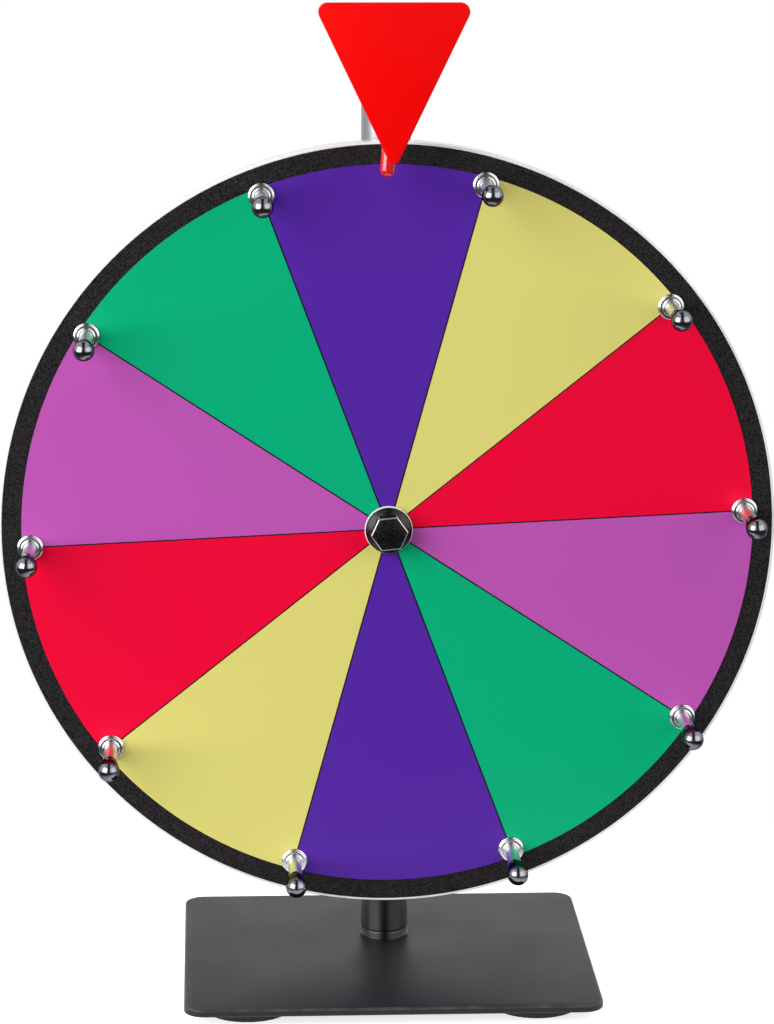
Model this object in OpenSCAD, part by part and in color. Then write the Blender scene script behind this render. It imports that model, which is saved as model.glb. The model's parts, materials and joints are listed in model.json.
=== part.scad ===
// Tabletop game wheel. A round board with colour panels and chrome pegs spins on a bolt axle
// in front of a two-part pole, which stands on a flat steel base with rubber feet.
// A red finger under a triangular pointer clicks over the pegs.
// Millimetres, +Z up, front towards -Y, origin on the table under the middle of the base plate.

/* [Base] */
// Width of the base plate, left to right
base_w = 163; // [140:1:200]
// Depth of the base plate, front to back
base_d = 144; // [130:1:180]
// Thickness of the base plate
base_t = 3; // [2:0.5:6]
// Radius of the base plate's corners
base_corner_r = 8; // [4:0.5:16]
// Chamfer along the base plate's top edge
base_chamfer = 0.7; // [0.3:0.1:1.2]
// Distance from the base plate's rear edge to the pole's axis
pole_inset = 52; // [40:1:70]
// Diameter of a rubber foot
foot_d = 35; // [20:1:45]
// Height of a rubber foot
foot_h = 5; // [5:0.5:9]
// Distance from the base plate's edges to a foot's middle
foot_inset = 25; // [23:1:34]
// Round on a foot's lower edge
foot_round = 0.8; // [0.3:0.1:1.5]
// Diameter of the bolt from the base plate into the pole
base_bolt_d = 6; // [5:0.5:6]
// Diameter of the base bolt's head
base_bolt_head_d = 10.5; // [9:0.5:12]
// Height of the base bolt's head
base_bolt_head_h = 3.3; // [2.5:0.1:3.5]
// Width of the hexagon socket in the base bolt's head
base_bolt_socket = 4; // [3:0.5:4]
// Depth of the base bolt in the pole's foot plug
base_bolt_bite = 18; // [12:1:20]
// Diameter of the washer under the base plate
base_washer_d = 18; // [14:1:24]
// Thickness of the washer under the base plate
base_washer_t = 1.2; // [0.8:0.1:1.4]

/* [Pole] */
// Outer diameter of the pole
pole_d = 19.5; // [17:0.5:22]
// Wall of the pole's tubes
pole_wall = 1.5; // [1:0.1:2]
// Height of the foot plug's rim that shows under the lower tube
collar_h = 3.4; // [2:0.1:6]
// Length of the foot plug inside the lower tube
plug_len = 24; // [15:1:40]
// Height of the joint between the two tubes above the axle
joint_rise = 55; // [46:1:80]
// Length of the joiner rod inside the two tubes
joiner_len = 60; // [30:1:70]
// Height of the upper tube's top above the pointer's bolt
pole_over_bolt = 11; // [10:0.5:18]
// Thickness of the top cap's disc
cap_t = 2; // [1:0.5:4]
// Length of the top cap's plug
cap_plug_len = 6; // [3:0.5:6]
// Chamfer on the top cap's edge
cap_edge = 0.6; // [0.2:0.1:0.9]
// Chamfer on the ends of the tubes and on the foot plug's rim
pole_bevel = 0.3; // [0.1:0.05:0.5]
// Radial clearance of what slides into the tubes
tube_fit = 0.1; // [0.05:0.05:0.3]

/* [Wheel] */
// Diameter of the wheel over its edge band
wheel_d = 304.8; // [280:0.2:330]
// Gap between the base plate and the wheel's lowest point
wheel_gap = 23.4; // [15:0.2:40]
// Thickness of the white board
board_t = 8; // [6:0.5:12]
// Thickness of the white edge band
edge_band_t = 0.9; // [0.5:0.1:2]
// Thickness of the black face sheet
sheet_t = 0.4; // [0.3:0.1:1]
// Thickness of a colour panel
panel_t = 0.4; // [0.3:0.1:1]
// Distance that the face sheet is trimmed back from the edge band
sheet_trim = 0.1; // [0.05:0.05:0.3]
// Distance from the wheel's edge to the colour panels
rim_w = 8.7; // [5:0.1:14]
// Width of the black line between two panels
line_w = 0.6; // [0.4:0.1:2]
// Radial gap between the panels' middle hole and the white washer's boss
face_hole_gap = 1; // [0.5:0.1:2]
// Chamfer on the edge band's two edges
edge_soft = 0.35; // [0.1:0.05:0.4]
// Number of colour panels, and of pegs
sectors = 10; // [6:1:12]
// Turn of the wheel, clockwise from the front, that the first peg stands at
wheel_turn = -20.6; // [-36:0.1:36]

/* [Pegs] */
// Distance from the wheel's edge to the circle of pegs
peg_inset = 11.9; // [11:0.1:14]
// Diameter of the washer under a peg
peg_washer_d = 10.4; // [10:0.1:13]
// Thickness of the washer under a peg
peg_washer_t = 0.8; // [0.5:0.1:1.5]
// Diameter of the collar round a peg's foot
peg_collar_d = 9.6; // [8.5:0.1:10]
// Thickness of the collar's flange
peg_collar_t = 1.4; // [1:0.1:2.5]
// Wall of the collar's boss round the peg's stem
peg_boss_wall = 0.8; // [0.6:0.1:1.2]
// Height of the collar's boss above its flange
peg_boss_h = 1.3; // [0.5:0.1:2]
// Diameter of a peg's stem
peg_stem_d = 5.2; // [4.4:0.1:5.4]
// Length of a peg with its cap in front of the panels
peg_len = 38.6; // [36:0.2:44]
// Diameter of the dark cap on a peg
peg_cap_d = 8.2; // [7.2:0.1:9]
// Diameter of the cap's rear end
peg_cap_rear_d = 5.7; // [5.4:0.1:6.6]
// Distance from the panels to the cap's rear end
peg_cap_low = 22.4; // [22:0.2:24]
// Length of the cap's flare from its rear end to its full width
peg_flare = 7.2; // [4:0.2:7.6]
// Length of the peg's threaded end inside the cap
peg_spigot_len = 7.6; // [5:0.2:9]
// Diameter of a peg's threaded stud
peg_stud_d = 4; // [3:0.1:4.2]
// Length of a stud past its nut
stud_end = 1; // [0.5:0.5:2.5]
// Width of a peg's nut across its flats
peg_nut_af = 7; // [6.4:0.1:8]
// Height of a peg's nut
peg_nut_h = 3.2; // [2:0.2:4]
// Thickness of the round flange on a peg's nut
peg_nut_flange_t = 0.8; // [0.5:0.1:1.2]
// Width of that flange past the nut's flats
peg_nut_rim = 1.5; // [0.8:0.1:2]
// Chamfer on the edges of the collar's flange and boss
peg_edge = 0.4; // [0.1:0.05:0.45]
// Radial clearance of a stud in the board
stud_fit = 0.15; // [0.05:0.05:0.3]

/* [Hub and axle] */
// Diameter of the axle bolt
axle_d = 8; // [7:0.5:9]
// Diameter of the axle bolt's flange
axle_flange_d = 18.2; // [17:0.1:20]
// Height of the axle bolt's head with its flange
axle_head_h = 8; // [6:0.2:10]
// Width of the axle bolt's head and nut across the flats
axle_af = 13; // [12:0.1:14]
// Diameter that the corners of the head's front face are turned to
axle_face_d = 14.3; // [14:0.1:14.8]
// Turn of the hexagon on the axle bolt
axle_head_turn = 55; // [0:1:59]
// Thickness of the axle bolt's flange at its edge
axle_flange_t = 1.4; // [1:0.1:2]
// Height of the cone between the flange and the hexagon, with the flange
axle_cone_h = 3.4; // [2.4:0.1:4]
// Diameter of the white washer under the axle bolt's flange
axle_washer_d = 18.9; // [18:0.1:24]
// Thickness of the white washer's disc
axle_washer_t = 1.5; // [1:0.1:3]
// Gap between the white washer and the turning panels
washer_gap = 0.4; // [0.3:0.1:1]
// Height of the axle nut
axle_nut_h = 8; // [6:0.5:10]
// Length of the axle bolt past its nut
axle_end = 2; // [1:0.5:4]
// Outer diameter of a bearing
bearing_d = 22; // [21:0.5:24]
// Width of a bearing
bearing_w = 7; // [7:0.5:9]
// Diameter of a bearing's balls
ball_d = 3.97; // [3.8:0.01:4]
// Number of balls in a bearing
ball_count = 7; // [6:1:8]
// Depth of the ball groove in a bearing's rings
race_depth = 0.55; // [0.4:0.05:0.8]
// Clearance round a ball in its groove and its cage
ball_fit = 0.1; // [0.05:0.05:0.2]
// Gap between a shield's inner edge and the inner ring
race_gap = 0.3; // [0.2:0.05:0.4]
// Thickness of a bearing's shields
shield_t = 0.4; // [0.2:0.1:0.4]
// Distance from a bearing's face to its shield
shield_inset = 0.3; // [0.1:0.05:0.3]
// Wall of a ball cage
cage_t = 0.9; // [0.6:0.1:1.2]
// Width of a ball cage past its balls, on each side
cage_rim = 0.6; // [0.4:0.1:0.7]
// Length of the spacer between the bearings
bearing_gap = 1.2; // [1:0.1:2]
// Thickness of the retaining ring behind the bearings
circlip_t = 1; // [0.8:0.1:1.2]
// Width of the retaining ring
circlip_ring = 2.2; // [1.6:0.1:2.6]
// Depth of the retaining ring's groove in the hub
circlip_depth = 0.75; // [0.5:0.05:1]
// Half of the angle that the retaining ring is open by
circlip_open = 24; // [10:1:40]
// Wall of the sleeves on the axle
sleeve_wall = 2; // [1.5:0.1:2.1]
// Outer diameter of the hub's barrel
hub_barrel_d = 29; // [27:0.5:34]
// Diameter of the hub's flange
hub_flange_d = 62; // [54:1:80]
// Thickness of the hub's flange
hub_flange_t = 3.5; // [2.5:0.5:5]
// Thickness of the hub's lip in front of the bearings
hub_lip_t = 1; // [0.6:0.1:1.5]
// Length of the hub behind the retaining ring
hub_tail = 1; // [0.5:0.1:2]
// Radial clearance of the hub in the board
hub_fit = 0.1; // [0.05:0.05:0.3]
// Gap between the hub and the pole
hub_clear = 1.25; // [1:0.05:4]
// Diameter of a hub screw
hub_screw_d = 3.5; // [3:0.1:4]
// Number of hub screws
hub_screws_n = 4; // [3:1:6]
// Depth of a hub screw in the board
hub_screw_bite = 6; // [3:0.5:6]
// Diameter of a hub screw's head
hub_screw_head_d = 7.6; // [6:0.2:9]
// Height of a hub screw's head
hub_screw_head_h = 2.4; // [1.8:0.1:3]
// Width of the cross slot in a hub screw's head
hub_screw_slot = 1; // [0.6:0.1:1.4]
// Angle of the first hub screw
hub_screw_turn = 45; // [0:5:90]
// Thickness of the saddles behind the pole
saddle_t = 2.2; // [1.5:0.1:4]
// Width of a saddle past the flats of its nut or bolt head
saddle_rim = 1.5; // [0.5:0.1:1.5]

/* [Pointer] */
// Width of the pointer plate
pointer_w = 56.8; // [50:0.2:66]
// Height of the pointer plate
pointer_h = 60.4; // [56:0.2:68]
// Thickness of the pointer plate
pointer_t = 3; // [2:0.5:5]
// Round on the pointer plate's upper corners
pointer_corner_r = 3.5; // [2:0.1:6]
// Round on the pointer plate's tip
pointer_tip_r = 2.2; // [1:0.1:3]
// Distance that the pointer's tip reaches below the wheel's edge
pointer_reach = 4.9; // [2:0.1:6]
// Distance from the panels to the pointer plate's front face
pointer_out = 34; // [31:0.5:38]
// Width of the pointer's holder
holder_w = 14; // [12:0.5:18]
// Distance from the panels to the holder's rear face
holder_gap = 6; // [5:0.5:7]
// Height of the holder's solid top above the pointer's bolt
holder_over_bolt = 9; // [8:0.5:12]
// Height of the pointer's bolt above the finger's pin
bolt_over_pin = 12; // [12:0.5:16]
// Diameter of the pointer's bolt
pointer_bolt_d = 6; // [5:0.5:6]
// Width of the pointer bolt's head across its flats
pointer_head_af = 10; // [8:0.5:11]
// Height of the pointer bolt's head
pointer_head_h = 4; // [3:0.5:5]
// Depth of the pointer's bolt in the holder
pointer_bolt_bite = 18; // [10:1:20]
// Outer diameter of the sleeve on the pointer's bolt
pointer_sleeve_d = 12; // [10:0.5:14]
// Height of the finger's pin above the wheel's edge
pin_rise = 15.6; // [14:0.2:18]
// Diameter of the finger's pin
pin_d = 3; // [2.5:0.1:3.5]
// Distance from the holder's front face to the pin's front end
pin_end = 2; // [1:0.5:4]
// Diameter of the finger
finger_d = 5.8; // [5:0.1:6]
// Diameter of the finger's eye
finger_eye_d = 9; // [8:0.1:10]
// Height of the eye's flat faces above the round finger
eye_lip = 0.3; // [0.1:0.1:0.5]
// Radial clearance of the finger's eye on its pin
pin_fit = 0.05; // [0.02:0.01:0.15]
// Gap between the finger's eye and each cheek of the holder
cheek_gap = 0.4; // [0.3:0.1:0.8]
// Gap between the finger's eye and the bottom of the holder's slot
slot_gap = 0.7; // [0.4:0.1:1.2]
// Wall of the holder's cheeks round the finger's eye
cheek_wall = 2; // [1:0.1:2.5]
// Distance from the panels to the finger's axis
finger_out = 19; // [14.5:0.5:19.5]
// Distance that the finger's tip reaches past the outside of the pegs' stems
finger_bite = 2.3; // [1.8:0.1:2.8]
// Lean of the finger at rest, to the left from the front
finger_lean = 4; // [3:0.1:5]

/* [Fits] */
// Radial clearance of a bolt in a drilled hole
bolt_fit = 0.15; // [0.05:0.05:0.4]
// Radial clearance of a close seat, as on a bearing or a thread
seat_fit = 0.02; // [0.01:0.01:0.05]
// Height of the turned corners on nuts and bolt heads
nut_chamfer = 0.6; // [0.3:0.1:1]
// Distance from a nut's flats to its turned face
nut_face_in = 0.12; // [0.05:0.01:0.3]

/* [Hidden] */
$fn = 96;
// Heights and depths that follow from the sizes above
wheel_r = wheel_d / 2;
plate_top = foot_h + base_t;
pole_r = pole_d / 2;
bore_r = pole_r - pole_wall;
pole_y = base_d / 2 - pole_inset;
axle_z = plate_top + wheel_gap + wheel_r;

// Depths behind the panels' front face
board_front = panel_t + sheet_t;
board_back = board_front + board_t;
bearing_1 = board_front + hub_lip_t;
bearing_2 = bearing_1 + bearing_w + bearing_gap;
circlip_y = bearing_2 + bearing_w;
hub_back = circlip_y + circlip_t + hub_tail;
pole_front = hub_back + hub_clear;
pole_depth = pole_front + pole_r;
pole_back = pole_front + pole_d;
face_y = pole_y - pole_depth;

// Radii on the wheel
sheet_r = wheel_r - edge_band_t;
panel_r = wheel_r - rim_w;
peg_circle_r = wheel_r - peg_inset;
sector_step = 360 / sectors;
axle_boss_d = axle_d + 2 * sleeve_wall;
face_hole_r = axle_boss_d / 2 + face_hole_gap;

// Rings of a bearing, from the ball circle outwards and inwards
ball_circle_r = (axle_d + bearing_d) / 4;
groove_r = ball_d / 2 + ball_fit;
inner_land_r = ball_circle_r - ball_d / 2 + race_depth;
outer_land_r = ball_circle_r + ball_d / 2 - race_depth;

// Radii above the axle that place the pointer and its finger
pin_z = wheel_r + pin_rise;
bolt_z = pin_z + bolt_over_pin;
pole_top = bolt_z + pole_over_bolt;
pointer_tip_z = wheel_r - pointer_reach;
finger_tip_z = peg_circle_r + peg_stem_d / 2 - finger_bite;
finger_len = pin_z - finger_tip_z;
pointer_back = pointer_out - pointer_t;
eye_t = finger_d + 2 * eye_lip;
slot_w = eye_t + 2 * cheek_gap;
slot_r = finger_eye_d / 2 + slot_gap;
cheek_r = finger_eye_d / 2 + cheek_wall;

panel_colors = ["#50249b", "#e0d878", "#e80532", "#be58b4", "#00b07a"];
black = "#1f1e21";
steel = "#b9bcc0";
chrome = "#d7dade";
dark_chrome = "#6f7176";

// Local frame of the wheel: origin in the panels' front face on the axle, +Z to the rear, -Y up
module on_axle(depth = 0) {
    translate([0, face_y + depth, axle_z]) rotate([-90, 0, 0]) children();
}

// Place of a peg, on the line between two panels
module at_peg(i) {
    rotate([0, 0, wheel_turn + (i - 1) * sector_step]) translate([0, -peg_circle_r, 0]) children();
}

// Place at a height above the axle, on the wheel's local frame
module at_height(h) {
    translate([0, -h, 0]) children();
}

module ring(r_out, r_in, h) {
    difference() {
        cylinder(r = r_out, h = h);
        translate([0, 0, -1]) cylinder(r = r_in, h = h + 2);
    }
}

// Hexagon with its corners turned off in a cone down to its face at the far end
module hex_head(af, h, face_d) {
    corner_r = af / sqrt(3);
    intersection() {
        cylinder(r = corner_r, h = h, $fn = 6);
        rotate_extrude()
            polygon([[0, 0], [corner_r, 0], [corner_r, h - nut_chamfer], [face_d / 2, h], [0, h]]);
    }
}

function nut_face(af) = af - 2 * nut_face_in;

// Outside of the pole over a stretch of height, in the wheel's local frame
module pole_cut(r, h) {
    translate([0, 0, pole_depth]) rotate([90, 0, 0]) cylinder(r = r, h = 2 * h, center = true);
}

// Base with its feet

// Plate of two crossed bars and four turned corners, all with the same chamfered edge
module base_plate() {
    edge_z = base_t - base_chamfer;
    bar_x = base_w - 2 * base_corner_r;
    bar_y = base_d - 2 * base_corner_r;
    color("#3b3b3c") translate([0, 0, foot_h]) difference() {
        union() {
            rotate([90, 0, 90]) linear_extrude(bar_x, center = true) plate_section(base_d / 2, edge_z);
            rotate([90, 0, 0]) linear_extrude(bar_y, center = true) plate_section(base_w / 2, edge_z);
            for (x = [-1, 1], y = [-1, 1])
                translate([x * bar_x / 2, y * bar_y / 2, 0]) rotate_extrude()
                    polygon([[0, 0], [base_corner_r, 0], [base_corner_r, edge_z],
                             [base_corner_r - base_chamfer, base_t], [0, base_t]]);
        }
        translate([0, pole_y, -1]) cylinder(d = base_bolt_d + 2 * bolt_fit, h = base_t + 2);
    }
}

module plate_section(half, edge_z) {
    polygon([[-half, 0], [half, 0], [half, edge_z], [half - base_chamfer, base_t],
             [base_chamfer - half, base_t], [-half, edge_z]]);
}

module foot(x, y) {
    r = foot_d / 2;
    color("#161617") translate([x * (base_w / 2 - foot_inset), y * (base_d / 2 - foot_inset), 0])
        rotate_extrude()
            polygon([[0, 0], [r - foot_round, 0], [r, foot_round], [r, foot_h], [0, foot_h]]);
}

module base_bolt() {
    head_r = base_bolt_head_d / 2;
    seat_z = foot_h - base_washer_t;
    shoulder = base_bolt_head_h * 0.35;
    color(steel) translate([0, pole_y, 0]) difference() {
        union() {
            translate([0, 0, seat_z])
                cylinder(d = base_bolt_d, h = base_washer_t + base_t + base_bolt_bite);
            translate([0, 0, seat_z]) mirror([0, 0, 1]) rotate_extrude()
                polygon([[0, 0], [head_r, 0], [head_r, shoulder],
                         [head_r * 0.6, base_bolt_head_h], [0, base_bolt_head_h]]);
        }
        translate([0, 0, seat_z - base_bolt_head_h - 1])
            cylinder(d = base_bolt_socket * 2 / sqrt(3), h = base_bolt_head_h * 0.6 + 1, $fn = 6);
    }
}

module base_washer() {
    color(steel) translate([0, pole_y, foot_h - base_washer_t])
        ring(base_washer_d / 2, base_bolt_d / 2 + bolt_fit, base_washer_t);
}

// Pole

module pole_foot() {
    color("#19191a") translate([0, pole_y, plate_top]) difference() {
        union() {
            rotate_extrude()
                polygon([[0, 0], [pole_r, 0], [pole_r, collar_h - pole_bevel],
                         [pole_r - pole_bevel, collar_h], [0, collar_h]]);
            cylinder(r = bore_r - tube_fit, h = collar_h + plug_len);
        }
        translate([0, 0, -1]) cylinder(r = base_bolt_d / 2 + seat_fit, h = base_bolt_bite + 2);
    }
}

// Tube with both outer edges turned off, drilled across for bolts at the given heights
module drilled_tube(z_low, z_high, holes) {
    h = z_high - z_low;
    difference() {
        translate([0, pole_y, z_low]) rotate_extrude()
            polygon([[bore_r, 0], [pole_r - pole_bevel, 0], [pole_r, pole_bevel],
                     [pole_r, h - pole_bevel], [pole_r - pole_bevel, h], [bore_r, h]]);
        for (hole = holes)
            translate([0, pole_y, hole[0]]) rotate([90, 0, 0])
                cylinder(d = hole[1] + 2 * bolt_fit, h = pole_d + 2, center = true);
    }
}

module lower_pole() {
    color("#1b1b1c")
        drilled_tube(plate_top + collar_h, axle_z + joint_rise, [[axle_z, axle_d]]);
}

module upper_pole() {
    color("#c3c5c8")
        drilled_tube(axle_z + joint_rise, axle_z + pole_top, [[axle_z + bolt_z, pointer_bolt_d]]);
}

module pole_joiner() {
    color(steel) translate([0, pole_y, axle_z + joint_rise - joiner_len / 2])
        cylinder(r = bore_r - tube_fit, h = joiner_len);
}

module pole_cap() {
    color("#c3c5c8") translate([0, pole_y, axle_z + pole_top]) union() {
        rotate_extrude()
            polygon([[0, 0], [pole_r, 0], [pole_r, cap_t - cap_edge],
                     [pole_r - cap_edge, cap_t], [0, cap_t]]);
        translate([0, 0, -cap_plug_len]) cylinder(r = bore_r - tube_fit, h = cap_plug_len + cap_t / 2);
    }
}

// Axle with its bearings

module axle_bolt() {
    flange_r = axle_flange_d / 2;
    seat = -washer_gap - axle_washer_t;
    shank = pole_back + saddle_t + axle_nut_h + axle_end - seat;
    color("#202023") on_axle(seat) union() {
        cylinder(d = axle_d, h = shank);
        mirror([0, 0, 1]) rotate_extrude()
            polygon([[0, 0], [flange_r - edge_soft, 0], [flange_r, edge_soft],
                     [flange_r, axle_flange_t - edge_soft], [flange_r - edge_soft, axle_flange_t],
                     [axle_af / 2, axle_cone_h], [0, axle_cone_h]]);
        mirror([0, 0, 1]) rotate([0, 0, axle_head_turn]) hex_head(axle_af, axle_head_h, axle_face_d);
    }
}

module axle_washer() {
    color("#eeeeec") on_axle(-washer_gap - axle_washer_t) difference() {
        union() {
            cylinder(d = axle_washer_d, h = axle_washer_t);
            cylinder(d = axle_boss_d, h = axle_washer_t + washer_gap + bearing_1);
        }
        translate([0, 0, -1]) cylinder(r = axle_d / 2 + bolt_fit, h = bearing_w * 2);
    }
}

module bearing_inner_rings() {
    color(chrome) for (depth = [bearing_1, bearing_2]) on_axle(depth) rotate_extrude() difference() {
        translate([axle_d / 2 + seat_fit, 0]) square([inner_land_r - axle_d / 2 - seat_fit, bearing_w]);
        translate([ball_circle_r, bearing_w / 2]) circle(r = groove_r);
    }
}

// Outer rings with a shield on each side that stops short of the inner ring
module bearing_outer_rings() {
    shield_r = inner_land_r + race_gap;
    color(chrome) for (depth = [bearing_1, bearing_2]) on_axle(depth) rotate_extrude() union() {
        difference() {
            translate([outer_land_r, 0]) square([bearing_d / 2 - outer_land_r, bearing_w]);
            translate([ball_circle_r, bearing_w / 2]) circle(r = groove_r);
        }
        for (y = [shield_inset, bearing_w - shield_inset - shield_t])
            translate([shield_r, y]) square([outer_land_r - shield_r + race_gap, shield_t]);
    }
}

module at_balls() {
    for (depth = [bearing_1, bearing_2], i = [1:ball_count])
        on_axle(depth + bearing_w / 2) rotate([0, 0, i * 360 / ball_count])
            translate([ball_circle_r, 0, 0]) children();
}

module bearing_balls() {
    color(chrome) at_balls() sphere(d = ball_d, $fn = 32);
}

// A thin ring with a round pocket for each ball
module bearing_cages() {
    cage_w = ball_d + 2 * cage_rim;
    color("#b08d57") difference() {
        for (depth = [bearing_1, bearing_2])
            on_axle(depth + (bearing_w - cage_w) / 2)
                ring(ball_circle_r + cage_t / 2, ball_circle_r - cage_t / 2, cage_w);
        at_balls() rotate([0, 90, 0]) cylinder(r = groove_r, h = 2 * cage_t, center = true);
    }
}

module bearing_spacer() {
    color(steel) on_axle(bearing_1 + bearing_w)
        ring(axle_boss_d / 2, axle_d / 2 + seat_fit, bearing_gap);
}

// Ring whose far end is hollowed to sit on the pole
module axle_spacer() {
    color(steel) on_axle() difference() {
        translate([0, 0, circlip_y])
            ring(axle_boss_d / 2, axle_d / 2 + bolt_fit, pole_depth - circlip_y - 1);
        pole_cut(pole_r + seat_fit, axle_boss_d);
    }
}

// Saddle that seats a bolt's nut or head on the back of the pole
module saddle(h, af, d_bolt) {
    d_out = af + 2 * saddle_rim;
    color(steel) on_axle() difference() {
        at_height(h) translate([0, 0, pole_depth + 1])
            ring(d_out / 2, d_bolt / 2 + bolt_fit, pole_r - 1 + saddle_t);
        at_height(h) pole_cut(pole_r + seat_fit, d_out);
    }
}

module axle_nut() {
    color(steel) on_axle(pole_back + saddle_t) difference() {
        hex_head(axle_af, axle_nut_h, nut_face(axle_af));
        translate([0, 0, -1]) cylinder(r = axle_d / 2 + seat_fit, h = axle_nut_h + 2);
    }
}

// Wheel

module wheel_board() {
    color("#efefee") on_axle(board_front) difference() {
        cylinder(r = sheet_r, h = board_t, $fn = 180);
        translate([0, 0, -1]) cylinder(r = hub_barrel_d / 2 + hub_fit, h = board_t + 2);
        for (i = [1:sectors])
            at_peg(i) translate([0, 0, -1]) cylinder(r = peg_stud_d / 2 + stud_fit, h = board_t + 2);
        at_hub_screws() translate([0, 0, board_t - hub_screw_bite - 0.5])
            cylinder(r = hub_screw_d / 2 + seat_fit, h = hub_screw_bite + 1);
    }
}

module edge_band() {
    h = board_back - panel_t;
    color("#f2f2f1") on_axle(panel_t) rotate_extrude($fn = 180)
        polygon([[sheet_r, 0], [wheel_r - edge_soft, 0], [wheel_r, edge_soft],
                 [wheel_r, h - edge_soft], [wheel_r - edge_soft, h], [sheet_r, h]]);
}

module face_sheet() {
    color(black) on_axle(panel_t) difference() {
        cylinder(r = sheet_r - sheet_trim, h = sheet_t, $fn = 180);
        translate([0, 0, -1]) cylinder(r = face_hole_r, h = sheet_t + 2);
        for (i = [1:sectors])
            at_peg(i) translate([0, 0, -1]) cylinder(r = peg_stud_d / 2 + stud_fit, h = sheet_t + 2);
    }
}

// Colour panel between two pegs, with its straight sides half a line's width from the sector's edges
module panel(i) {
    half = sector_step / 2;
    apex = line_w / 2 / sin(half);
    reach = 1.2 * panel_r / cos(half);
    color(panel_colors[(i - 1) % len(panel_colors)]) on_axle() difference() {
        rotate([0, 0, wheel_turn + (i - 0.5) * sector_step]) linear_extrude(panel_t) intersection() {
            circle(r = panel_r, $fn = 180);
            polygon([[0, -apex], [reach * sin(half), -apex - reach * cos(half)],
                     [-reach * sin(half), -apex - reach * cos(half)]]);
        }
        translate([0, 0, -1]) cylinder(r = face_hole_r, h = panel_t + 2);
        for (k = [i, i + 1])
            at_peg(k) translate([0, 0, -1]) cylinder(r = peg_stud_d / 2 + stud_fit, h = panel_t + 2);
    }
}

// Turned peg: a stem with a stud through the board and a threaded end for the cap
module peg(i) {
    stud_len = board_back + peg_nut_flange_t + peg_nut_h + stud_end;
    color(chrome) on_axle() at_peg(i) union() {
        mirror([0, 0, 1]) union() {
            translate([0, 0, peg_washer_t]) cylinder(d = peg_stem_d, h = peg_cap_low - peg_washer_t);
            translate([0, 0, peg_cap_low - 1]) cylinder(d = peg_stud_d, h = peg_spigot_len + 1);
        }
        translate([0, 0, -2 * peg_washer_t]) cylinder(d = peg_stud_d, h = stud_len + 2 * peg_washer_t);
    }
}

// Dark caps on the pegs: a flare from the stem's width to a round nose, hollow for the peg's end
module peg_caps() {
    cap_r = peg_cap_d / 2;
    nose = peg_len - cap_r;
    color(dark_chrome) for (i = [1:sectors])
        on_axle() at_peg(i) mirror([0, 0, 1]) rotate_extrude() difference() {
            union() {
                polygon([[0, peg_cap_low], [peg_cap_rear_d / 2, peg_cap_low],
                         [cap_r, peg_cap_low + peg_flare], [cap_r, nose], [0, nose]]);
                translate([0, nose]) intersection() {
                    circle(r = cap_r);
                    square(cap_r);
                }
            }
            translate([0, peg_cap_low - 1])
                square([peg_stud_d / 2 + seat_fit, peg_spigot_len + 1 + seat_fit]);
        }
}

// Bright collar round a peg's foot: a flange with a boss on it
module peg_collars() {
    bore = peg_stem_d / 2 + seat_fit;
    flange_r = peg_collar_d / 2;
    boss_r = peg_stem_d / 2 + peg_boss_wall;
    flange_top = peg_washer_t + peg_collar_t;
    boss_top = flange_top + peg_boss_h;
    color(chrome) for (i = [1:sectors])
        on_axle() at_peg(i) mirror([0, 0, 1]) rotate_extrude()
            polygon([[bore, peg_washer_t], [flange_r - peg_edge, peg_washer_t],
                     [flange_r, peg_washer_t + peg_edge], [flange_r, flange_top - peg_edge],
                     [flange_r - peg_edge, flange_top], [boss_r, flange_top],
                     [boss_r, boss_top - peg_edge], [boss_r - peg_edge, boss_top], [bore, boss_top]]);
}

module peg_washers() {
    color(chrome) for (i = [1:sectors])
        on_axle(-peg_washer_t) at_peg(i)
            ring(peg_washer_d / 2, peg_stud_d / 2 + stud_fit, peg_washer_t);
}

// Nut with its own round flange, on the stud behind the board
module peg_nuts() {
    color(steel) for (i = [1:sectors])
        on_axle(board_back) at_peg(i) difference() {
            union() {
                cylinder(d = peg_nut_af + 2 * peg_nut_rim, h = peg_nut_flange_t);
                hex_head(peg_nut_af, peg_nut_flange_t + peg_nut_h, nut_face(peg_nut_af));
            }
            translate([0, 0, -1])
                cylinder(r = peg_stud_d / 2 + seat_fit, h = peg_nut_h + peg_nut_flange_t + 2);
        }
}

module at_hub_screws() {
    for (i = [1:hub_screws_n])
        rotate([0, 0, hub_screw_turn + i * 360 / hub_screws_n])
            translate([(hub_barrel_d + hub_flange_d) / 4, 0, 0]) children();
}

module wheel_hub() {
    flange = board_back - board_front;
    color("#2a2a2c") on_axle(board_front) difference() {
        union() {
            cylinder(d = hub_barrel_d, h = hub_back - board_front);
            translate([0, 0, flange]) cylinder(d = hub_flange_d, h = hub_flange_t);
        }
        translate([0, 0, -1]) cylinder(r = outer_land_r, h = hub_back);
        translate([0, 0, hub_lip_t]) cylinder(r = bearing_d / 2 + seat_fit, h = hub_back);
        translate([0, 0, circlip_y - board_front - seat_fit])
            cylinder(r = bearing_d / 2 + circlip_depth, h = circlip_t + 2 * seat_fit);
        at_hub_screws() translate([0, 0, flange - 1])
            cylinder(r = hub_screw_d / 2 + bolt_fit, h = hub_flange_t + 2);
    }
}

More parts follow.
